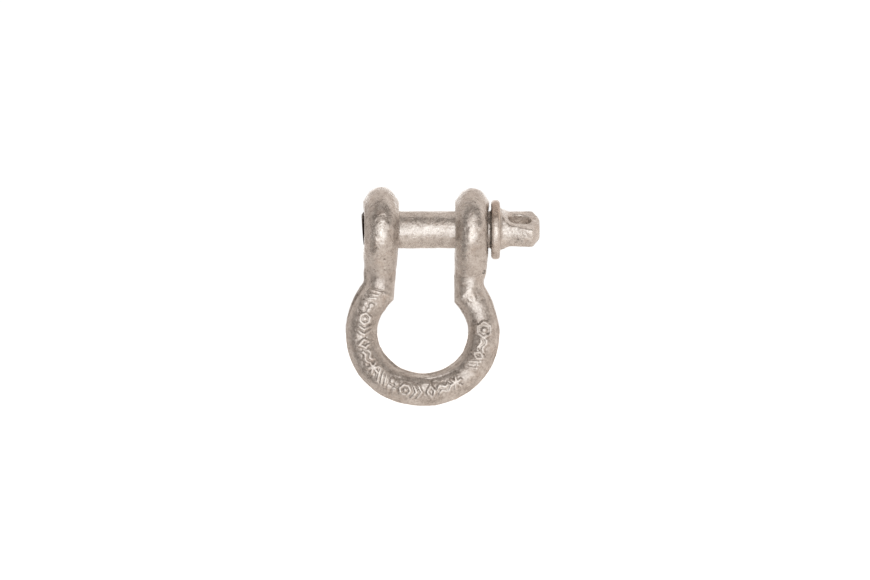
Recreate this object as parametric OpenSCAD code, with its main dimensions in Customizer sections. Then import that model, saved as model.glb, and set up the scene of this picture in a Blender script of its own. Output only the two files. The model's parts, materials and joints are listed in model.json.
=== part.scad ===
// Bow shackle with a screw pin, forged from 5/16 in bar and hot-dip galvanised.
// Two pieces: the bow, with one plain ear and one tapped ear, and the screw pin.
// Millimetres. The origin is on the pin's axis, midway between the ears' inner
// faces. +X runs towards the pin's head, +Z away from the crown, and the bow's
// parting plane is y = 0.

/* [Bow] */
// Diameter of the bar at the crown
crown_bar_d = 8; // [7.8:0.1:8.5]
// Radius of the crown's centreline
crown_r = 15.05; // [14.5:0.05:15.8]
// Depth of the crown's centre below the pin's axis
crown_drop = 24.7; // [24.2:0.1:25.5]
// Sideways place of the crown's centre, as forged slightly off the jaw's centre
crown_shift = -1.1; // [-1.4:0.1:1.4]
// Angle above the crown's horizontal diameter where each leg meets its arc
leg_angle = 43; // [40:1:45]
// Diameter of a leg
leg_d = 7.8; // [7.4:0.1:8.0]
// Depth to which a leg runs on past the arc, which leaves a sharp inner corner
leg_overrun = 2.6; // [2.2:0.1:3.0]
// Thickness of the trimmed flash that stands along the parting plane
flash_t = 1.4; // [1.0:0.1:2.0]
// How far the trimmed flash stands proud of the bar
flash_h = 0.1; // [0.1:0.05:0.3]

/* [Ears] */
// Clear width between the ears
jaw_w = 13.9; // [13.5:0.1:14.5]
// Outer diameter of both ears
ear_d = 20.8; // [20:0.1:21.6]
// Thickness of the tapped ear at its hub
tapped_ear_t = 8.8; // [8.6:0.1:9.2]
// Thickness of the plain ear at its hub
plain_ear_t = 8.4; // [8.2:0.1:8.8]
// Radius of an ear's rounded rim
rim_r = 4; // [3.8:0.05:4]
// Radius of the hollow that blends an ear into its leg, seen from the side
cheek_r = 8; // [7:0.5:9]
// Width of the solid web behind that hollow
cheek_w = 5.6; // [5:0.1:6.4]

/* [Screw pin] */
// Diameter of the pin's shank
pin_d = 9.2; // [9.0:0.1:9.5]
// Clearance between the shank and the plain ear's hole, on the radius
plain_gap = 0.4; // [0.3:0.05:0.6]
// Clearance between the thread's crests and the tapped ear's hole, on the radius
thread_gap = 0.08; // [0.05:0.01:0.15]
// Distance from one thread crest to the next (16 to the inch)
pitch = 1.5875; // [1.5875]
// Depth of the thread
thread_depth = 0.8; // [0.6:0.05:0.9]
// Length of the threaded end
thread_len = 9.2; // [8.4:0.1:9.6]
// How far the threaded end stands out of the tapped ear
thread_proud = 0.5; // [0.3:0.05:1.2]
// Gap between the plain ear and the collar
collar_gap = 0.45; // [0.2:0.05:0.8]
// Diameter of the collar
collar_d = 14.6; // [14:0.1:15.5]
// Thickness of the collar
collar_t = 2.1; // [1.8:0.1:2.4]

/* [Pin head] */
// Length of the head from the collar's outer face to its end
head_len = 9.9; // [9.5:0.1:10.5]
// Diameter of the head next to the collar
head_d = 10.2; // [9.8:0.1:10.4]
// Diameter to which the pressed head spreads at its end
head_end_d = 12; // [11.4:0.1:12.4]
// Diameter of the head's end face
head_tip_d = 4.4; // [3.6:0.1:5]
// Length of the chamfer round the head's end
head_chamfer = 1.75; // [1.4:0.05:2]
// Thickness of the head where its flats begin
flat_t_start = 6.2; // [5.8:0.1:6.6]
// Thickness of the head where its end chamfer begins
flat_t_end = 4.9; // [4.6:0.1:5.4]
// Diameter of the eye through the head
eye_d = 5.6; // [5:0.1:6]
// Distance from the collar's outer face to the eye
eye_place = 5; // [4.8:0.1:5.4]
// Turn of the flats about the pin's axis when the pin is home
head_turn = 25; // [0:1:60]

/* [Hidden] */
$fn = 96;
overlap = 0.5;
zinc = [0.68, 0.64, 0.60];

bar_r = crown_bar_d / 2;
leg_r = leg_d / 2;
jaw_half = jaw_w / 2;
tapped_x = -jaw_half - tapped_ear_t / 2;
plain_x = jaw_half + plain_ear_t / 2;

pin_r = pin_d / 2;
crest_r = pin_r - 0.05;
root_r = crest_r - thread_depth;
plain_hole_r = pin_r + plain_gap;
tapped_hole_r = crest_r + thread_gap;

thread_end_x = -jaw_half - tapped_ear_t - thread_proud;
thread_start_x = thread_end_x + thread_len;
collar_x = jaw_half + plain_ear_t + collar_gap;
head_x = collar_x + collar_t;
head_end_x = head_x + head_len;
thread_count = floor(thread_len / pitch);

// A cylinder or cone along X from x = a to x = b.
module along_x(a, b, r1, r2) {
    translate([a, 0, 0])
        rotate([0, 90, 0])
            cylinder(h = b - a, r1 = r1, r2 = r2);
}

// An outline drawn as [radius, height], turned about the X axis.
module turned_about_x() {
    rotate([0, 90, 0])
        rotate_extrude()
            children();
}

// Where a leg's centreline meets the crown's arc: side is -1 or 1.
function leg_foot(side) = [
    crown_shift + side * crown_r * cos(leg_angle),
    0,
    -crown_drop + crown_r * sin(leg_angle)
];

// The crown's arc of round bar, with its trimmed flash. It runs from one leg's
// foot down and round to the other's.
module crown() {
    sweep = 180 + 2 * leg_angle;
    translate([crown_shift, 0, -crown_drop])
        rotate([90, 0, 0]) {
            rotate_extrude(angle = sweep, start = 180 - leg_angle)
                translate([crown_r, 0])
                    circle(r = bar_r);
            rotate_extrude(angle = sweep, start = 180 - leg_angle)
                translate([crown_r, 0])
                    square([2 * (bar_r + flash_h), flash_t], center = true);
        }
}

// An ear: a thick disc about the pin's axis with a half-round rim.
module ear(x, thickness) {
    rim_centre = ear_d / 2 - rim_r;
    hub_half = thickness / 2;
    slope_end = rim_centre + 0.45 * rim_r;
    translate([x, 0, 0])
        turned_about_x() {
            translate([rim_centre, 0])
                circle(r = rim_r);
            polygon([
                [0, -hub_half],
                [rim_centre - 1, -hub_half],
                [slope_end, -0.85 * rim_r],
                [slope_end, 0.85 * rim_r],
                [rim_centre - 1, hub_half],
                [0, hub_half]
            ]);
        }
}

// A leg leans from its ear's centre to the foot on the crown's arc, and its web
// fills the hollow between the round bar and the wide ear.
module leg(ear_x, side) {
    foot = leg_foot(side);
    run = norm(foot - [ear_x, 0, 0]);
    lean = atan2(foot.x - ear_x, -foot.z);
    contact_r = ear_d / 2 - rim_r + sqrt(pow(rim_r, 2) - pow(cheek_w / 2, 2));
    hollow_y = leg_r - 0.2 + cheek_r;
    hollow_z = sqrt(pow(contact_r + cheek_r, 2) - pow(hollow_y, 2));
    web_half = contact_r * hollow_y / (contact_r + cheek_r) - 0.1;
    translate([ear_x, 0, 0])
        rotate([0, 180 - lean, 0]) {
            cylinder(h = run + leg_overrun, r = leg_r);
            translate([-cheek_w / 2, 0, 0])
                rotate([90, 0, 90])
                    linear_extrude(height = cheek_w)
                        difference() {
                            translate([-web_half, 1])
                                square([2 * web_half, hollow_z - 1.2]);
                            for (s = [-1, 1])
                                translate([s * hollow_y, hollow_z])
                                    circle(r = cheek_r);
                        }
        }
    translate(foot)
        sphere(r = bar_r + 0.1);
}

module bow() {
    color(zinc)
        difference() {
            union() {
                crown();
                ear(tapped_x, tapped_ear_t);
                ear(plain_x, plain_ear_t);
                leg(tapped_x, -1);
                leg(plain_x, 1);
            }
            along_x(tapped_x - tapped_ear_t, 0, tapped_hole_r, tapped_hole_r);
            along_x(0, plain_x + plain_ear_t, plain_hole_r, plain_hole_r);
        }
}

// The thread's grooves as a row of rings, one pitch apart.
module thread_grooves() {
    half_groove = 0.42 * pitch;
    for (i = [0 : thread_count - 1])
        translate([thread_end_x + (i + 0.75) * pitch, 0, 0])
            turned_about_x()
                polygon([
                    [root_r, 0],
                    [crest_r + overlap, -half_groove * (1 + overlap / thread_depth)],
                    [crest_r + overlap, half_groove * (1 + overlap / thread_depth)]
                ]);
}

// One of the two pressed flats on the head, as the body that is taken away: a
// short ramp, then a flat that draws closer to the axis towards the head's end.
module head_flat() {
    ramp_x = head_x + 1;
    flat_x = ramp_x + 0.9;
    chamfer_x = head_end_x - head_chamfer;
    taper = (flat_t_start - flat_t_end) / 2 / (chamfer_x - flat_x);
    rotate([90, 0, 0])
        linear_extrude(height = 2 * head_end_d, center = true)
            polygon([
                [ramp_x, head_end_d / 2 + 1],
                [ramp_x, head_d / 2 - 0.1],
                [flat_x, flat_t_start / 2],
                [head_end_x + 1, flat_t_start / 2 - taper * (head_end_x + 1 - flat_x)],
                [head_end_x + 1, head_end_d / 2 + 1]
            ]);
}

module head() {
    chamfer_x = head_end_x - head_chamfer;
    rotate([head_turn, 0, 0])
        difference() {
            union() {
                along_x(head_x - overlap, chamfer_x, head_d / 2, head_end_d / 2);
                along_x(chamfer_x, head_end_x, head_end_d / 2, head_tip_d / 2);
            }
            head_flat();
            mirror([0, 0, 1])
                head_flat();
            translate([head_x + eye_place, 0, 0])
                cylinder(h = 2 * head_d, d = eye_d, center = true);
        }
}

// The collar: a disc with a softened rim.
module collar() {
    edge = 0.35 * collar_t;
    translate([collar_x + collar_t / 2, 0, 0])
        turned_about_x()
            polygon([
                [0, -collar_t / 2],
                [collar_d / 2 - edge, -collar_t / 2],
                [collar_d / 2, edge - collar_t / 2],
                [collar_d / 2, collar_t / 2 - edge],
                [collar_d / 2 - edge, collar_t / 2],
                [0, collar_t / 2]
            ]);
}

module screw_pin() {
    lead = 0.4;
    color(zinc) {
        difference() {
            union() {
                along_x(thread_end_x, thread_end_x + lead, crest_r - lead, crest_r);
                along_x(thread_end_x + lead, thread_start_x, crest_r, crest_r);
            }
            thread_grooves();
        }
        along_x(thread_start_x, collar_x + overlap, pin_r, pin_r);
        along_x(collar_x - 0.4, collar_x + overlap, pin_r - 0.1, pin_r + 0.8);
        collar();
        head();
    }
}

bow();
screw_pin();
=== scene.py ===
"""Looks of a galvanised bow shackle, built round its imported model.

The two forgings are meshed here from signed distance fields, so that every fillet, mark and dent is real
geometry. Lengths are in millimetres until a mesh is made, and then in metres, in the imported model's frame:
the pin lies along X, the crown hangs down, and the shackle's front faces -Y.
"""

import json
import math

import bmesh
import bpy
import numpy as np
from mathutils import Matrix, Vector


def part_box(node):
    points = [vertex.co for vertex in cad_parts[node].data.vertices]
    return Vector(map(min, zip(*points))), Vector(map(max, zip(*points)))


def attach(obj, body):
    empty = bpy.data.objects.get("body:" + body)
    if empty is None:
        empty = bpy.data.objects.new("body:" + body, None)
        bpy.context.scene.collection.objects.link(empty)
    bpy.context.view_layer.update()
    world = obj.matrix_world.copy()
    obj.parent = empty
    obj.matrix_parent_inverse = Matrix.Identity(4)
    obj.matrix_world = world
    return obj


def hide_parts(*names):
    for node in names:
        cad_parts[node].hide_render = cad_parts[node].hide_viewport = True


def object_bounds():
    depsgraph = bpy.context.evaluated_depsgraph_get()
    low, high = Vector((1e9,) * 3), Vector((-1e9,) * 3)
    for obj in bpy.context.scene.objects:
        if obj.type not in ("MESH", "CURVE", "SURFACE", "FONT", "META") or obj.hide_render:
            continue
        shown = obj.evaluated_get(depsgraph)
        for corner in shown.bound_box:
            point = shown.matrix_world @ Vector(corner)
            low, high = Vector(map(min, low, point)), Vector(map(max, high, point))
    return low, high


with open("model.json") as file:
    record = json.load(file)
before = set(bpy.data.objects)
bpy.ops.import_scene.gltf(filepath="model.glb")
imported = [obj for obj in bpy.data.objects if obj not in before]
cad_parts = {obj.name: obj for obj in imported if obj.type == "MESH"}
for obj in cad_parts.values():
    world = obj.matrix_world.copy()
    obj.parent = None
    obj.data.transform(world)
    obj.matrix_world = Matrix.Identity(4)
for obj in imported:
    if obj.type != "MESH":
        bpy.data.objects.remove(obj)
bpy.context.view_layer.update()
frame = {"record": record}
MM = 0.001

# ---------------------------------------------------------------- sizes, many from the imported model
mounts = {mount["name"]: mount for mount in frame["record"]["mounts"]}
pin_span, head_eye = mounts["pin_span"], mounts["head_eye"]
bow_low, bow_high = (np.array(corner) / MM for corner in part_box("bow"))
pin_low, pin_high = (np.array(corner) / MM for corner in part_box("screw_pin"))

# The bow. Each ear is called by the side of X that it stands on.
TAPPED, PLAIN = -1, 1
BAR_R = 4.0                                         # radius of the round bar
FLASH_H = 0.1                                       # the trimmed flash stands this far proud of the bar
FLASH_HALF = 0.7                                    # half the thickness of the flash
FLASH_BLEND = 0.4                                   # width over which the flash is rounded and joined on
CROWN_X = (bow_low[0] + bow_high[0]) / 2
CROWN_OUT = (bow_high[0] - bow_low[0]) / 2 - FLASH_H
CROWN_Z = bow_low[2] + CROWN_OUT + FLASH_H
CROWN_R = CROWN_OUT - BAR_R                         # radius of the crown's centreline
JAW_HALF = pin_span["dims"]["length_mm"] / 2
EAR_R = bow_high[2]
EAR_UNLIKE = 0.12                                   # added to the tapped ear, taken off the plain one
EAR_T = {TAPPED: 8.8, PLAIN: 8.4}                   # thickness of each ear
EAR_RIM = {TAPPED: 3.88, PLAIN: 3.72}               # radius of each ear's half-round rim
EAR_BLEND = 5.5                                     # width over which an ear's outline runs into its leg
EAR_TOE = 0.035                                     # how much the front of the tapped ear is turned
HUB_R = 7.1                                         # radius of an ear's flat sides
HUB_SLOPE = 0.95                                    # fall of the sides outside that radius
HUB_END_R = 8.5                                     # radius where that fall ends
HUB_DRAFT = 0.07                                    # slope of an ear's outer side from its middle to its rim
LEG_TOP_Z = -6                                      # the legs taper and carry flash below this
LEG_R = {TAPPED: 4.18, PLAIN: 4.17}                 # radius of each leg at its top
LEG_TAPER = {TAPPED: 0.042, PLAIN: 0.045}           # what that radius loses for each millimetre down
LEG_LEAN = 0.04                                     # both legs lean to the same side, as forged
LEG_DEPTH = 4.1                                     # half of a leg's depth where it meets the crown
LEG_FLASH = {TAPPED: 0.3, PLAIN: 0.12}              # height of the flash low on each leg
WAIST_Z = -12                                       # height at which the legs are drawn in
WAIST_DEPTH = 0.5                                   # how much they are drawn in, front and back
MITRE = {                                           # inner and outer corners where each leg meets the crown
    TAPPED: ((-8.3, -17.3), (-15.8, -12.5)),
    PLAIN: ((6.72, -17.9), (13.85, -13.1)),
}
NICK = np.array([14.0, -2.4, -10.45])               # the middle of a short slot struck into the plain leg
NICK_RUN = (0.42, 0.91)                             # the way that slot runs, in X and Z
NICK_REACH = 2.0                                    # the slot lies within this of its middle

# The pin.
PIN_R = pin_span["dims"]["r_mm"]
TIP_X = pin_low[0]
TIP_SLANT = 0.07                                    # the bar was sheared a little out of square
PITCH = 25.4 / 16                                   # a 3/8 in thread of 16 to the inch
CREST_R = PIN_R - 0.05
CREST_FLAT = 0.12                                   # share of half a pitch that is flat on crest and root
THREAD_DEPTH = 0.8
THREAD_END = TIP_X + 9.2
THREAD_FADE = 1.2                                   # the groove runs out over this much of its length
COLLAR_X = JAW_HALF + EAR_T[PLAIN] + 0.45
COLLAR_R = pin_high[2]
COLLAR_EDGE = 0.85                                  # radius of the collar's rounded rim
HEAD_X = COLLAR_X + 2.1                             # the head starts where the collar ends
HEAD_END_X = pin_high[0]
HEAD_UP = 0.18                                      # the head is forged this far above the pin's axis
HEAD_TURN = math.atan2(-head_eye["axis"][1], head_eye["axis"][2])
HEAD_START_R = 5.1                                  # the head's radius at the collar
HEAD_END_R = 6.2                                    # its radius where the end chamfer starts
HEAD_TIP_R = 2.4                                    # its radius where the end chamfer ends
CHAMFER_LEN = 1.75
TAB_X = HEAD_X + 1.9                                # the flats reach their full depth about here
TAB_HALF = 3.0                                      # half the tab's thickness there
TAB_TAPER = 0.104                                   # what that half loses for each millimetre outwards
EYE_R = head_eye["dims"]["r_mm"]
EYE_X = head_eye["pos_m"][0] / MM

# The ears' holes.
PLAIN_HOLE_R = PIN_R + 0.4
TAPPED_HOLE_R = CREST_R + 0.08
TAPPED_DEPTH = 0.55                                 # depth of the thread in the tapped hole


# ---------------------------------------------------------------- distance-field arithmetic
def join(a, b, width):
    """The union of two fields, blended over a width."""
    overlap = np.maximum(width - np.abs(a - b), 0) / width
    return np.minimum(a, b) - overlap * overlap * width / 4


def cut(a, b, width):
    """Field a with field b taken away, its new edges rounded over a width."""
    return -join(-a, b, width)


def keep(a, b, width):
    """Where fields a and b overlap, its new edges rounded over a width."""
    return -join(-a, -b, width)


def ramp(x, a, b):
    """0 at a and before it, 1 at b and beyond it, and smooth between them."""
    share = np.clip((x - a) / (b - a), 0, 1)
    return share * share * (3 - 2 * share)


def swell(x, at, width):
    """A smooth bump that is 1 at a place and almost nothing two widths away."""
    return np.exp(-(((x - at) / width) ** 2))


def lattice_noise(p, cell, seed):
    """Smooth value noise from -1 to 1 that varies over about one cell."""
    place = p / cell + 1000.0 + seed * 17.31
    base = np.floor(place).astype(np.int64)
    inside = place - base
    inside = inside ** 3 * (inside * (inside * 6 - 15) + 10)
    total = np.zeros(len(p))
    for dx, dy, dz in np.ndindex(2, 2, 2):
        x, y, z = base[:, 0] + dx, base[:, 1] + dy, base[:, 2] + dz
        code = (x * 73856093) ^ (y * 19349663) ^ (z * 83492791) ^ (seed * 2654435761)
        code = (code ^ (code >> 13)) * 1274126177
        code = (code ^ (code >> 16)) & 0xFFFFFF
        share = (
            (inside[:, 0] if dx else 1 - inside[:, 0])
            * (inside[:, 1] if dy else 1 - inside[:, 1])
            * (inside[:, 2] if dz else 1 - inside[:, 2])
        )
        total += share * code / 0xFFFFFF
    return 2 * total - 1


# ---------------------------------------------------------------- the bow's smooth shape
def rim_and_leg(p, side):
    """An ear's half-round rim and the leg under it: one rounded slab whose outline, seen along X, is a disc
    blended into a bar. Low on the leg there is flash, as on the crown."""
    x, y, z = p.T
    centre = side * (JAW_HALF + EAR_T[side] / 2) + LEG_LEAN * np.minimum(z, 0)
    leg_r = LEG_R[side] + LEG_TAPER[side] * np.minimum(z - LEG_TOP_Z, 0)
    low = ramp(-z, 1, 7)
    rim = EAR_RIM[side] + (leg_r - EAR_RIM[side]) * low
    disc = np.hypot(y, z) - (EAR_R - EAR_UNLIKE * side - rim)
    bar = np.hypot(y, np.maximum(z, 0))
    waist = WAIST_DEPTH * swell(z, WAIST_Z, 1.7)
    depth = rim + (LEG_DEPTH - rim) * low - waist
    outline = np.maximum(join(disc, bar, EAR_BLEND), 0) * rim / depth
    flash_h = LEG_FLASH[side] * ramp(-z, 6, 11)
    toe = EAR_TOE * np.maximum(-y, 0) * (side == TAPPED)
    slab = np.hypot(outline, x - centre + side * flash_h - toe) - rim + flash_h
    flash_out = leg_r - 0.6 * ramp(z, -12, -7)
    flash = keep(np.abs(x - centre) - flash_out, np.abs(y) - FLASH_HALF, FLASH_BLEND)
    return join(slab, np.maximum(flash, z - LEG_TOP_Z), FLASH_BLEND)


def hub(p, side):
    """The flat-sided middle of an ear. Seen along X it is a drop that points down. Its sides slope away near
    the edge, and the outer one is drafted."""
    x, y, z = p.T
    ear_x = side * (JAW_HALF + EAR_T[side] / 2)
    under = np.maximum(-z - 3, 0)
    drop = np.hypot(y * (1 + 0.25 * under), np.where(z < 0, 0.75, 1) * z)
    draft = HUB_DRAFT * np.abs(y) * ((x - ear_x) * side > 0)
    half = EAR_T[side] / 2 - draft - 0.1 * under - HUB_SLOPE * np.maximum(drop - HUB_R, 0)
    return np.maximum(np.abs(x - ear_x) - half, drop - HUB_END_R)


def crown_polar(p):
    """Distance from the crown's centre, and the angle round it in radians from straight down."""
    dx, dz = p[:, 0] - CROWN_X, p[:, 2] - CROWN_Z
    return np.hypot(dx, dz), np.arctan2(dx, -dz)


def crown_radii(turn):
    """The crown's outer and inner radius at an angle from straight down: a hand-set die leaves it a little
    flat at the bottom, full at the quarters and thick towards the shoulders."""
    away = np.minimum(np.abs(turn), 2.4)
    outer = CROWN_OUT - 0.05 - 0.23 * np.cos(3.2 * away) - 0.2 * ramp(turn, 1.5, 1.9)
    inner = CROWN_R - BAR_R - 0.03 - 0.32 * np.cos(2.5 * away) - 0.4 * ramp(away, 1.57, 2.23)
    return outer, inner - 0.3 * swell(turn, -0.84, 0.4)


def crown(p):
    """The crown's ring of round bar, with what trimming left of the flash: a thin web along the parting plane
    that stands proud of the bar in places."""
    rho, turn = crown_polar(p)
    outer, inner = crown_radii(turn)
    proud_out = FLASH_H + 0.6 * swell(turn, -2.15, 0.3) + 0.3 * swell(turn, 1.95, 0.25)
    proud_in = FLASH_H + 0.25 * swell(turn, 0.25, 0.4) + 0.35 * swell(turn, -0.75, 0.35)
    proud_in += 0.3 * swell(turn, 1.9, 0.3)
    bar_out, bar_in = outer - proud_out, inner + proud_in
    ring = np.hypot(rho - (bar_out + bar_in) / 2, p[:, 1]) - (bar_out - bar_in) / 2
    flash = keep(np.maximum(rho - outer, inner - rho), np.abs(p[:, 1]) - FLASH_HALF, FLASH_BLEND)
    return join(ring, flash, FLASH_BLEND)


def shouldered(leg, ring, p, side):
    """A leg and the crown mitred where they meet: sharp at the inner corner and soft at the outer one."""
    inner, outer = np.array(MITRE[side])
    along = (outer - inner) / np.linalg.norm(outer - inner)
    across = np.array([-along[1], along[0]]) * side
    dx, dz = p[:, 0] - inner[0], p[:, 2] - inner[1]
    softness = 0.3 + 1.6 * ramp(dx * along[0] + dz * along[1], 1, 8)
    share = ramp(dx * across[0] + dz * across[1], -softness, softness)
    return ring + (leg - ring) * share


def thread_wave(p):
    """1 in the bottom of a right-hand thread's groove and 0 on its crest."""
    x, y, z = p.T
    phase = x / PITCH + np.arctan2(z, y) / (2 * math.pi)
    wave = np.abs((phase % 1) * 2 - 1)
    return np.clip((wave - CREST_FLAT) / (1 - 2 * CREST_FLAT), 0, 1)


def nick(p):
    """The slot struck into the plain leg."""
    x, y, z = (p - NICK).T
    along = NICK_RUN[0] * x + NICK_RUN[1] * z
    across = NICK_RUN[1] * x - NICK_RUN[0] * z
    slot = np.hypot(across, np.maximum(np.abs(along) - 0.35, 0)) - 0.23
    return np.maximum(slot, np.abs(y) - 1.6)


def bow_field(p):
    """The bow: two limbs mitred to the crown, with both holes and the nick."""
    x, y, z = p.T
    ring = crown(p)
    tapped, plain = (
        shouldered(join(rim_and_leg(p, side), hub(p, side), 0.4), ring, p, side)
        for side in (TAPPED, PLAIN)
    )
    body = np.where(x < CROWN_X, tapped, plain)
    r = np.hypot(y, z)
    tapped_r = TAPPED_HOLE_R + TAPPED_DEPTH * thread_wave(p) * (r < 6)
    worn_mouth = x > JAW_HALF + EAR_T[PLAIN] / 2
    body = cut(body, r - np.where(x > 0, PLAIN_HOLE_R, tapped_r), np.where(worn_mouth, 0.9, 0.5))
    return cut(body, nick(p), 0.1)


# ---------------------------------------------------------------- raised marks on the crown's front
# Each motif gives the distance from a point to the middle of its raised line: u runs along the bar and v
# across it, in millimetres. They are plain ornaments that stand for no letter or number.
def rhomb(u, v):
    return np.abs(np.abs(u) / 0.95 + np.abs(v) / 1.45 - 1) / math.hypot(1 / 0.95, 1 / 1.45)


def star(u, v):
    spokes = np.minimum(np.abs(v), np.minimum(np.abs(0.5 * v - 0.866 * u), np.abs(0.5 * v + 0.866 * u)))
    return np.maximum(spokes, np.hypot(u, v) - 1.35)


def hexagon(u, v):
    side = np.abs(np.maximum(np.abs(u) * 0.866 + np.abs(v) * 0.5, np.abs(v)) - 1.15)
    return np.minimum(side, np.maximum(np.hypot(u, v) - 0.15, 0))


def arrows(u, v):
    fold = u + 0.6 * np.abs(v)
    lines = np.minimum(np.abs(fold + 0.35), np.abs(fold - 0.85)) / math.hypot(1, 0.6)
    return np.maximum(lines, np.abs(v) - 1.3)


def hatch(u, v):
    slant = u - 0.5 * v
    lines = np.abs((slant + 0.5) % 1 - 0.5) / math.hypot(1, 0.5)
    return np.maximum(np.maximum(lines, np.abs(v) - 1.25), np.abs(slant) - 1.3)


def dots(u, v):
    return np.maximum(np.hypot(np.abs(u) - 0.65, np.abs(v) - 0.85) - 0.3, 0)


def waves(u, v):
    crest = 0.3 * np.sin(2.6 * u)
    lines = np.minimum(np.abs(v - 0.65 - crest), np.abs(v + 0.65 - crest)) * 0.85
    return np.maximum(lines, np.abs(u) - 1.2)


MOTIFS = (hatch, dots, hexagon, arrows, rhomb, waves, star)
LONG_ROW = 14                                       # marks from the tapped shoulder round the bottom
LONG_ROW_FROM = -125                                # where it starts, in degrees from straight down
LONG_ROW_STEP = 12.1                                # degrees from one mark to the next
SHORT_ROW = ((hexagon, 90, 1.45), (waves, 75.5, 1.15), (rhomb, 65.5, 0.95), (hatch, 55.5, 0.9))
MARK_H = 0.29                                       # how far the marks stand proud of the bar
MARK_REACH = 2.6                                    # a mark of size 1 lies within this of its middle


def mark_places():
    """The marks of both rows as motif, angle round the crown in radians, radius and size."""
    places = []
    for k in range(LONG_ROW):
        turn = math.radians(LONG_ROW_FROM + LONG_ROW_STEP * k)
        radius = CROWN_R + 0.35 - 1.1 * float(swell(turn, -1.6, 0.5))
        places.append((MOTIFS[k % len(MOTIFS)], turn, radius, 1.03))
    for motif, degrees, size in SHORT_ROW:
        places.append((motif, math.radians(degrees), CROWN_R + 0.1, size))
    return places


def raised_marks(p):
    """The height of the raised marks at each point, and whether a point is close to one."""
    rho, turn = crown_polar(p)
    height, close = np.zeros(len(p)), np.zeros(len(p), bool)
    for motif, at, radius, size in mark_places():
        u, v = (turn - at) * radius, rho - radius
        near = (np.hypot(u, v) < MARK_REACH * size) & (p[:, 1] < 0)
        line = motif(u[near] / size, v[near] / size) * size
        height[near] = np.maximum(height[near], MARK_H * (1 - ramp(line, 0.1, 0.62)))
        close |= near
    return height, close


# ---------------------------------------------------------------- the skin that stands off the smooth shapes
BURR_TURN = 0.28                                    # the middle of the burr, in radians from straight down
BURR_INSET = 1.25                                   # how far it lies from the crown's inner edge
PIT = np.array([-10.4, -7.5, -7.6])                 # the middle of a pit in the tapped leg
PIT_HALF = np.array([0.3, 3, 0.25])                 # its half-lengths
BLISTER = np.array([11.1, -16.9])                   # the middle, in X and Z, of a ring on the plain shoulder


def burr(p):
    """The height of the fine burr that trimming left along the crown's inner side, and whether a point is
    close to it."""
    rho, turn = crown_polar(p)
    inset = BURR_INSET + 0.3 * (turn - BURR_TURN)
    off = np.abs(rho - crown_radii(turn)[1] - inset)
    front = p[:, 1] < 0
    height = 0.34 * swell(off, 0, 0.24) * swell(turn, BURR_TURN, 0.38) * front
    return height, (off < 0.8) & (np.abs(turn - BURR_TURN) < 0.8) & front


def lumps(p, layers):
    """Noise added up from layers, each with its height, cell and seed."""
    return sum(height * lattice_noise(p, cell, seed) for height, cell, seed in layers)


def spots(p, cell, seed, start):
    """1 in scattered small spots and 0 between them; a higher start leaves fewer of them."""
    return ramp(lattice_noise(p, cell, seed), start, 0.85)


def bow_relief(p):
    """How far the galvanised skin stands off the bow. Its lumps and spots fade out in the holes."""
    x, y, z = p.T
    skin = lumps(p, ((0.07, 3.3, 1), (0.04, 1.4, 2), (0.012, 0.8, 9)))
    skin += 0.07 * spots(p, 0.95, 3, 0.45) - 0.06 * spots(p, 1.1, 4, 0.5)
    skin *= ramp(np.hypot(y, z), 5, 6.2)
    skin += raised_marks(p)[0] * (1 + 0.25 * lattice_noise(p, 2.1, 5))
    skin += burr(p)[0]
    skin -= 0.4 * np.exp(-(((p - PIT) / PIT_HALF) ** 2).sum(1))
    from_blister = np.hypot(x - BLISTER[0], z - BLISTER[1])
    skin += 0.12 * swell(from_blister, 0.75, 0.35) * (y < 0)
    return skin


def bow_fine(p):
    """Where the bow has details that need smaller faces."""
    return raised_marks(p)[1] | burr(p)[1] | (np.linalg.norm(p - NICK, axis=1) < NICK_REACH)


def pin_relief(p):
    """How far the skin stands off the pin: lumpy on the shank and head, and bare metal on the threads."""
    skin = lumps(p, ((0.04, 2.6, 6), (0.026, 1.1, 7), (0.01, 0.7, 10))) - 0.05 * spots(p, 1.0, 8, 0.5)
    return skin * ramp(p[:, 0], THREAD_END, THREAD_END + 1)


# ---------------------------------------------------------------- the pin's smooth shape
def drum(x, r, start, end, radius, edge):
    """A cylinder along X, with its rims rounded to a radius of edge."""
    u = np.abs(x - (start + end) / 2) - (end - start) / 2 + edge
    v = r - radius + edge
    return np.minimum(np.maximum(u, v), 0) + np.hypot(np.maximum(u, 0), np.maximum(v, 0)) - edge


def head(p):
    """The head: a round stub that spreads into a pressed, holed tab with a chamfered end."""
    x, y, z = p.T
    z = z - HEAD_UP
    cos_turn, sin_turn = math.cos(HEAD_TURN), math.sin(HEAD_TURN)
    across, up = cos_turn * y + sin_turn * z, cos_turn * z - sin_turn * y
    r = np.hypot(y, z)
    chamfer_x = HEAD_END_X - CHAMFER_LEN
    side = r - HEAD_START_R - (HEAD_END_R - HEAD_START_R) * ramp(x, HEAD_X + 1.5, chamfer_x)
    fall = (HEAD_END_R - HEAD_TIP_R) / CHAMFER_LEN
    chamfer = (r - HEAD_END_R + fall * (x - chamfer_x)) / math.hypot(1, fall)
    stub = keep(keep(side, chamfer, 0.35), x - HEAD_END_X, 0.35)
    stub = np.maximum(stub, HEAD_X - 1 - x)
    tab_half = TAB_HALF - TAB_TAPER * (x - TAB_X)
    run_out = 0.4 * np.maximum(TAB_X + 0.9 - x, 0) ** 2
    stub = keep(stub, np.abs(up) - tab_half - run_out, 0.45)
    eye = np.hypot(x - EYE_X, across) - EYE_R
    return cut(stub, eye, 0.6)


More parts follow.
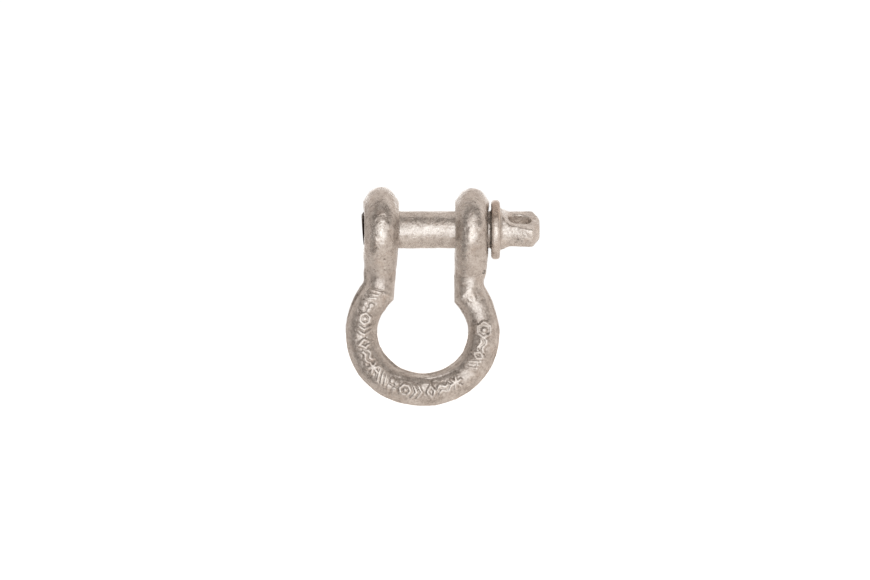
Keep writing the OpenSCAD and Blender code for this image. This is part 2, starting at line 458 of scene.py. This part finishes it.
def pin_field(p):
    """The pin: threaded end, shank, collar and head."""
    x, y, z = p.T
    r = np.hypot(y, z)
    groove = THREAD_DEPTH * thread_wave(p) * ramp(x, THREAD_END, THREAD_END - THREAD_FADE)
    thread = drum(x, r + groove, TIP_X, THREAD_END + 1, CREST_R, 0.12)
    thread = keep(thread, TIP_X + TIP_SLANT * (CREST_R - z) - x, 0.15)
    shank = drum(x, r, THREAD_END, COLLAR_X + 1, PIN_R, 0.3)
    collar = drum(x, r, COLLAR_X, HEAD_X + 0.1, COLLAR_R + 0.05, COLLAR_EDGE)
    body = join(join(thread, shank, 0.15), collar, 0.5)
    return join(body, head(p), 0.8)


# ---------------------------------------------------------------- meshes from fields
def sampled(field, low, high, step):
    """A lattice's three axes and the field's value at each of its points."""
    axes = [np.arange(a - 2 * step, b + 3 * step, step) for a, b in zip(low, high)]
    value = np.empty([len(axis) for axis in axes], np.float32)
    yy, zz = np.meshgrid(axes[1], axes[2], indexing="ij")
    for i, x in enumerate(axes[0]):
        points = np.stack([np.full(yy.size, x), yy.ravel(), zz.ravel()], 1)
        value[i] = field(points).reshape(yy.shape)
    return axes, value


def net_points(value):
    """Which lattice cells the surface crosses, and for each of them the mean of the crossings on its edges,
    in steps from the cell's low corner."""
    cells = [n - 1 for n in value.shape]
    corner = {}
    count = np.zeros(cells, np.int8)
    for offset in np.ndindex(2, 2, 2):
        corner[offset] = value[tuple(slice(o, o + n) for o, n in zip(offset, cells))]
        count += corner[offset] < 0
    active = (count > 0) & (count < 8)
    total = np.zeros((active.sum(), 3))
    crossings = np.zeros(active.sum())
    for offset in corner:
        for axis in range(3):
            if offset[axis]:
                continue
            other = tuple(o + (k == axis) for k, o in enumerate(offset))
            start, end = corner[offset][active], corner[other][active]
            crossed = (start < 0) != (end < 0)
            point = np.tile(np.array(offset, float), (len(start), 1))
            point[:, axis] += np.where(crossed, start / np.where(crossed, start - end, 1), 0)
            total += point * crossed[:, None]
            crossings += crossed
    return active, total / crossings[:, None]


def net_quads(inside, number):
    """A quad round each lattice edge that the surface crosses, facing outwards. number holds the number of
    the vertex in each cell."""
    cells = number.shape
    quads = []
    for axis in range(3):
        u, v = (axis + 1) % 3, (axis + 2) % 3
        lower = [slice(1, n) for n in cells]
        lower[axis] = slice(0, cells[axis])
        upper = list(lower)
        upper[axis] = slice(1, cells[axis] + 1)
        start, end = inside[tuple(lower)], inside[tuple(upper)]
        for flip, crossed in ((False, start & ~end), (True, ~start & end)):
            edge = np.argwhere(crossed) + np.array([int(k != axis) for k in range(3)])
            ring = []
            for du, dv in ((0, 0), (1, 0), (1, 1), (0, 1)):
                cell = edge.copy()
                cell[:, u] -= 1 - du
                cell[:, v] -= 1 - dv
                ring.append(number[cell[:, 0], cell[:, 1], cell[:, 2]])
            ring = np.stack(ring, 1)
            quads.append(ring[:, ::-1] if flip else ring)
    return np.concatenate(quads)


def surface_net(field, low, high, step):
    """Vertices and quads of the surface field = 0 in a box: one vertex in each cell that it crosses."""
    axes, value = sampled(field, low, high, step)
    active, local = net_points(value)
    number = np.full(active.shape, -1, np.int64)
    number[active] = np.arange(len(local))
    vertices = (np.argwhere(active) + local) * step + np.array([axis[0] for axis in axes])
    return vertices, net_quads(value < 0, number)


def slope_of(field, p, reach=0.02):
    """The field's gradient at each point."""
    slope = np.empty_like(p)
    for axis in range(3):
        shift = np.zeros(3)
        shift[axis] = reach
        slope[:, axis] = (field(p + shift) - field(p - shift)) / (2 * reach)
    return slope


def unit_normals(field, p):
    """The outward direction at each point."""
    slope = slope_of(field, p)
    return slope / (np.linalg.norm(slope, axis=1)[:, None] + 1e-9)


def onto_surface(field, p, rounds=2):
    """Points moved on to the surface along the field's gradient."""
    for _ in range(rounds):
        slope = slope_of(field, p)
        steepness = np.maximum((slope * slope).sum(1), 0.05)
        step = np.clip(field(p) / steepness, -0.3, 0.3)
        p = p - slope * step[:, None]
    return p


def neighbour_mean(values, pairs):
    """The mean of each vertex's neighbours, for the pairs of vertices that edges join."""
    total, count = np.zeros_like(values), np.zeros(len(values))
    for a, b in ((pairs[:, 0], pairs[:, 1]), (pairs[:, 1], pairs[:, 0])):
        for axis in range(values.shape[1]):
            total[:, axis] += np.bincount(a, values[b, axis], len(values))
        count += np.bincount(a, minlength=len(values))
    return total / count[:, None]


def evened(field, p, quads, rounds=3):
    """The mesh's vertices spread evenly, still on the surface."""
    pairs = np.concatenate([quads[:, [k, (k + 1) % 4]] for k in range(4)])
    for _ in range(rounds):
        move = neighbour_mean(p, pairs) - p
        normals = unit_normals(field, p)
        move -= normals * (move * normals).sum(1)[:, None]
        p = onto_surface(field, p + 0.6 * move, 1)
    return onto_surface(field, p, 1)


def refine(mesh, chosen):
    """Cut each face whose corners are all chosen in four."""
    work = bmesh.new()
    work.from_mesh(mesh)
    faces = [face for face in work.faces if all(chosen[vertex.index] for vertex in face.verts)]
    edges = list({edge for face in faces for edge in face.edges})
    bmesh.ops.subdivide_edges(work, edges=edges, cuts=1, use_grid_fill=True)
    work.to_mesh(mesh)
    work.free()


def vertex_places(mesh):
    """A mesh's vertices, in millimetres."""
    flat = np.empty(len(mesh.vertices) * 3)
    mesh.vertices.foreach_get("co", flat)
    return flat.reshape(-1, 3) / MM


HOLLOW_DEPTH = 0.12                                 # how deep a hollow of 1 is


def sunkenness(mesh, p, normals, rounds=6):
    """How far each vertex lies below the mean of those around it."""
    pairs = np.empty(len(mesh.edges) * 2, np.int32)
    mesh.edges.foreach_get("vertices", pairs)
    pairs = pairs.reshape(-1, 2)
    around = p
    for _ in range(rounds):
        around = neighbour_mean(around, pairs)
    return ((around - p) * normals).sum(1)


def forged(name, field, relief, low, high, step, fine=None):
    """A piece whose surface is field = 0 moved outwards by relief. Where fine says so, its faces are cut in
    four. The attribute "hollow" runs from -1 on sharp ridges to 2.5 in the deepest hollows."""
    vertices, quads = surface_net(field, low, high, step)
    vertices = evened(field, onto_surface(field, vertices), quads)
    mesh = bpy.data.meshes.new(name)
    mesh.from_pydata((vertices * MM).tolist(), [], quads.tolist())
    if fine is not None:
        refine(mesh, fine(vertices))
    p = onto_surface(field, vertex_places(mesh))
    normals = unit_normals(field, p)
    p = p + normals * relief(p)[:, None]
    mesh.vertices.foreach_set("co", (p * MM).ravel())
    attribute = mesh.attributes.new("hollow", "FLOAT", "POINT")
    hollow = np.clip(sunkenness(mesh, p, normals) / HOLLOW_DEPTH, -1, 2.5)
    attribute.data.foreach_set("value", hollow)
    mesh.validate()
    mesh.update()
    mesh.shade_smooth()
    piece = bpy.data.objects.new(name, mesh)
    bpy.context.scene.collection.objects.link(piece)
    return piece


# ---------------------------------------------------------------- materials
class Nodes:
    """A node tree with short ways to add a node and to link a socket or a value to an input."""

    def __init__(self, tree):
        self.tree = tree

    def add(self, kind, inputs=(), **settings):
        node = self.tree.nodes.new(kind)
        for key, value in settings.items():
            setattr(node, key, value)
        for key, value in dict(inputs).items():
            self.feed(node.inputs[key], value)
        return node

    def feed(self, socket, value):
        if isinstance(value, bpy.types.NodeSocket):
            self.tree.links.new(value, socket)
        else:
            socket.default_value = value

    def maths(self, operation, *values, clamp=False):
        inputs = dict(enumerate(values))
        return self.add("ShaderNodeMath", inputs, operation=operation, use_clamp=clamp).outputs[0]

    def vector(self, operation, *values):
        return self.add("ShaderNodeVectorMath", dict(enumerate(values)), operation=operation).outputs

    def spread(self, value, low, high, to_low=0.0, to_high=1.0):
        inputs = {"Value": value, "From Min": low, "From Max": high, "To Min": to_low, "To Max": to_high}
        return self.add("ShaderNodeMapRange", inputs, interpolation_type="SMOOTHSTEP").outputs[0]

    def blend(self, share, a, b, kind="MIX"):
        """Colour b mixed into colour a by a share. The node takes these three at inputs 0, 6 and 7."""
        node = self.add("ShaderNodeMix", data_type="RGBA", blend_type=kind)
        for index, value in ((0, share), (6, a), (7, b)):
            self.feed(node.inputs[index], value)
        return node.outputs[2]

    def noise(self, place, cell, detail=3.0, roughness=0.6, distortion=0.0):
        inputs = {"Vector": place, "Scale": 1 / cell, "Detail": detail, "Roughness": roughness,
                  "Distortion": distortion}
        return self.add("ShaderNodeTexNoise", inputs).outputs["Fac"]

    def tones(self, value, stops):
        """A colour ramp with stops of place and colour, in rising order."""
        node = self.add("ShaderNodeValToRGB", {"Fac": value})
        elements = node.color_ramp.elements
        for place, _ in stops[1:-1]:
            elements.new(place)
        for element, (place, colour) in zip(elements, stops):
            element.position = place
            element.color = (*colour, 1)
        return node.outputs["Color"]


# The sizes of the zinc's patterns, in millimetres.
PATCH_CELL = 4.5
STAIN_CELL = 3.1
CLOUD_CELL = 1.5
GRAIN_CELL = 0.5

# Zinc from its darkest tone to its lightest.
ZINC = (
    (0.0, (0.30, 0.26, 0.23)),
    (0.25, (0.52, 0.477, 0.44)),
    (0.6, (0.715, 0.67, 0.63)),
    (1.0, (0.90, 0.87, 0.83)),
)
STAIN = (0.86, 0.775, 0.715, 1)                     # what a brown stain leaves of the colour under it
BARE_THREAD = (0.12, 0.095, 0.08, 1)


def rim_stain(nodes, place, up):
    """The brown stain on the collar's rim, made darker towards the top."""
    off_axis = nodes.vector("MULTIPLY", place, (0, 1, 1))[0]
    radius = nodes.vector("LENGTH", off_axis)["Value"]
    return nodes.maths("MULTIPLY", nodes.spread(radius, 5.9, 6.8), nodes.spread(up, 1, 4, 0.25, 1.1))


def zinc_material(name, dull, metal, grime_and_shade, lift, bare_x=None):
    """Weathered hot-dip galvanising. dull is its general roughness, metal how metallic it is and lift how
    much lighter it is all over; grime sets how much its hollows darken and its sharp ridges lighten, partly
    as dirt and partly as painted shade. With bare_x, in millimetres, it is the pin's: the rim of the collar
    is stained and darker towards the top, and metal below bare_x is bare, as the threads are cut after the
    dip."""
    material = bpy.data.materials.new(name)
    material.use_nodes = True
    nodes = Nodes(material.node_tree)
    object_place = nodes.add("ShaderNodeTexCoord").outputs["Object"]
    to_mm = {"Vector": object_place, "Scale": (1 / MM, 1 / MM, 1 / MM)}
    place = nodes.add("ShaderNodeMapping", to_mm).outputs[0]
    along, _, up = nodes.add("ShaderNodeSeparateXYZ", {"Vector": place}).outputs
    patches = nodes.noise(place, PATCH_CELL, 3, 0.55, 0.4)
    clouds = nodes.noise(place, CLOUD_CELL, 3, 0.6, 0.3)
    grain = nodes.noise(place, GRAIN_CELL, 3, 0.75)
    hollow = nodes.add("ShaderNodeAttribute", attribute_name="hollow").outputs["Fac"]

    tone = nodes.maths("MULTIPLY_ADD", nodes.spread(patches, 0.3, 0.7), 0.27, lift)
    tone = nodes.maths("MULTIPLY_ADD", nodes.spread(clouds, 0.3, 0.7), 0.33, tone)
    tone = nodes.maths("MULTIPLY_ADD", nodes.spread(grain, 0.32, 0.68), 0.45, tone)
    # hollows darker and sharp ridges lighter: partly dirt on the zinc, partly painted shade
    tone = nodes.maths("MULTIPLY_ADD", hollow, -grime_and_shade, tone)
    rough = nodes.maths("MULTIPLY_ADD", nodes.spread(clouds, 0.3, 0.7), 0.12, dull - 0.1)
    rough = nodes.maths("MULTIPLY_ADD", nodes.spread(grain, 0.3, 0.7), 0.1, rough)
    rough = nodes.maths("MULTIPLY_ADD", nodes.spread(patches, 0.35, 0.65), -0.08, rough)
    rough = nodes.maths("ADD", rough, nodes.spread(up, -3, -12, 0, 0.07))

    stain = nodes.spread(nodes.noise(place, STAIN_CELL, 3, 0.7, 0.5), 0.5, 0.72, 0, 0.45)
    bare = 0.0
    if bare_x is not None:
        stain = nodes.maths("ADD", stain, rim_stain(nodes, place, up), clamp=True)
        bare = nodes.spread(along, bare_x, bare_x - 0.6)
    colour = nodes.blend(stain, nodes.tones(tone, ZINC), STAIN, "MULTIPLY")
    colour = nodes.blend(bare, colour, BARE_THREAD)
    rough = nodes.maths("MULTIPLY_ADD", bare, 0.08, rough)

    lumpy = nodes.maths("MULTIPLY_ADD", grain, 0.22, clouds)
    bump = nodes.add("ShaderNodeBump", {"Strength": 1.0, "Distance": 0.24 * MM, "Height": lumpy})
    shader = material.node_tree.nodes["Principled BSDF"]
    nodes.feed(shader.inputs["Base Color"], colour)
    nodes.feed(shader.inputs["Roughness"], rough)
    nodes.feed(shader.inputs["Metallic"], metal)
    nodes.feed(shader.inputs["Normal"], bump.outputs[0])
    return material


# ---------------------------------------------------------------- pieces
MARGIN = 0.6                                        # room round a piece's box for its skin
BOW_STEP = 0.275                                    # how far apart the vertices of each mesh lie
PIN_STEP = 0.18

bow = forged("bow_forging", bow_field, bow_relief, bow_low - MARGIN, bow_high + MARGIN, BOW_STEP, bow_fine)
pin = forged("pin_forging", pin_field, pin_relief, pin_low - MARGIN, pin_high + MARGIN, PIN_STEP)
bow.data.materials.append(zinc_material("bow_zinc", dull=0.33, metal=0.78, grime_and_shade=0.36, lift=0.0))
pin.data.materials.append(zinc_material("pin_zinc", dull=0.31, metal=0.7, grime_and_shade=0.15, lift=0.12,
                                        bare_x=THREAD_END))
for piece, node, slot in ((bow, "bow", "galvanised_bow"), (pin, "screw_pin", "galvanised_pin")):
    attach(piece, node)
    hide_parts(node)

# ---------------------------------------------------------------- light, floor and camera
LIGHT_DIP = math.radians(8)                         # the tent's axis dips this far below the camera
TENT = (                                            # degrees from the tent's axis, and how bright it is there
    (180, 1.6), (165, 1.25), (148, 0.9), (134, 0.62), (122, 0.68),
    (110, 0.9), (103, 0.93), (91, 0.42), (80, 0.17), (63, 0.17),
    (52, 0.55), (41, 0.98), (27, 1.2), (13, 1.75), (0, 2.1),
)
SHADE = (0.82, 0.82, 0.82, 1)                       # what reaches the object from the tapped side
WARM_FLOOR = (0.77, 0.682, 0.617, 1)                # light sent back from below and from the plain side


def tent_stops():
    """The tent's light as stops from behind the object to the camera's side; the dimmer, the warmer."""
    stops = []
    for degrees, level in TENT:
        warmth = float(ramp(level, 1.65, 0.5))
        colour = (level, level * (1 - 0.13 * warmth), level * (1 - 0.22 * warmth))
        stops.append(((1 + math.cos(math.radians(degrees))) / 2, colour))
    return stops


def studio_world():
    """A soft white tent with a dark ring round the camera's side, and a pale warm floor. The camera itself
    sees plain white."""
    world = bpy.data.worlds.new("studio")
    world.use_nodes = True
    world.node_tree.nodes.clear()
    nodes = Nodes(world.node_tree)
    way = nodes.add("ShaderNodeTexCoord").outputs["Generated"]
    way_x, _, way_z = nodes.add("ShaderNodeSeparateXYZ", {"Vector": way}).outputs
    tent_axis = (0, -math.cos(LIGHT_DIP), -math.sin(LIGHT_DIP))
    front = nodes.vector("DOT_PRODUCT", way, tent_axis)["Value"]
    reach = nodes.maths("MULTIPLY_ADD", nodes.maths("ABSOLUTE", way_x), -0.1, front)
    light = nodes.tones(nodes.maths("MULTIPLY_ADD", reach, 0.5, 0.5), tent_stops())
    light = nodes.blend(nodes.spread(way_x, -0.15, -0.8), light, SHADE, "MULTIPLY")
    aside = nodes.maths("MULTIPLY_ADD", way_z, -1.1, nodes.maths("MULTIPLY", way_x, 0.8))
    aside = nodes.maths("MULTIPLY_ADD", nodes.maths("MAXIMUM", front, 0.0), -0.5, aside)
    light = nodes.blend(nodes.spread(aside, 0.1, 0.6), light, WARM_FLOOR)
    glow = nodes.add("ShaderNodeBackground", {"Color": light, "Strength": 1.03})
    paper = nodes.add("ShaderNodeBackground", {"Color": (1, 1, 1, 1), "Strength": 1.05})
    camera_ray = nodes.add("ShaderNodeLightPath").outputs["Is Camera Ray"]
    mixed = nodes.add("ShaderNodeMixShader", {0: camera_ray, 1: glow.outputs[0], 2: paper.outputs[0]})
    nodes.add("ShaderNodeOutputWorld", {"Surface": mixed.outputs[0]})
    return world


def studio_floor(z):
    """A plain pale floor that neither shades the object nor shows in its zinc."""
    half = 1.5
    corners = [(-half, -half, z), (half, -half, z), (half, half, z), (-half, half, z)]
    mesh = bpy.data.meshes.new("floor")
    mesh.from_pydata(corners, [], [(0, 1, 2, 3)])
    material = bpy.data.materials.new("floor")
    material.use_nodes = True
    inputs = material.node_tree.nodes["Principled BSDF"].inputs
    inputs["Base Color"].default_value = (0.85, 0.85, 0.85, 1)
    inputs["Roughness"].default_value = 0.9
    inputs["Emission Color"].default_value = (1, 1, 1, 1)
    inputs["Emission Strength"].default_value = 0.8
    mesh.materials.append(material)
    floor = bpy.data.objects.new("floor", mesh)
    floor.visible_glossy = False
    floor.visible_diffuse = False
    return floor


def studio_camera(x, z, away, lens):
    """A camera that looks level along +Y, from a distance away in front of the object."""
    data = bpy.data.cameras.new("camera")
    data.sensor_width = 36
    data.lens = lens
    data.clip_start = 0.01
    camera = bpy.data.objects.new("camera", data)
    camera.location = (x * MM, -away * MM, z * MM)
    camera.rotation_euler = (math.radians(90), 0, 0)
    return camera


scene = bpy.context.scene
scene.view_settings.view_transform = "Standard"
scene.world = studio_world()
floor = studio_floor(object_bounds()[0][2])
scene.collection.objects.link(floor)
scene.camera = studio_camera(x=1.96, z=-14.9, away=900, lens=150.8)
scene.collection.objects.link(scene.camera)

bpy.context.view_layer.update()
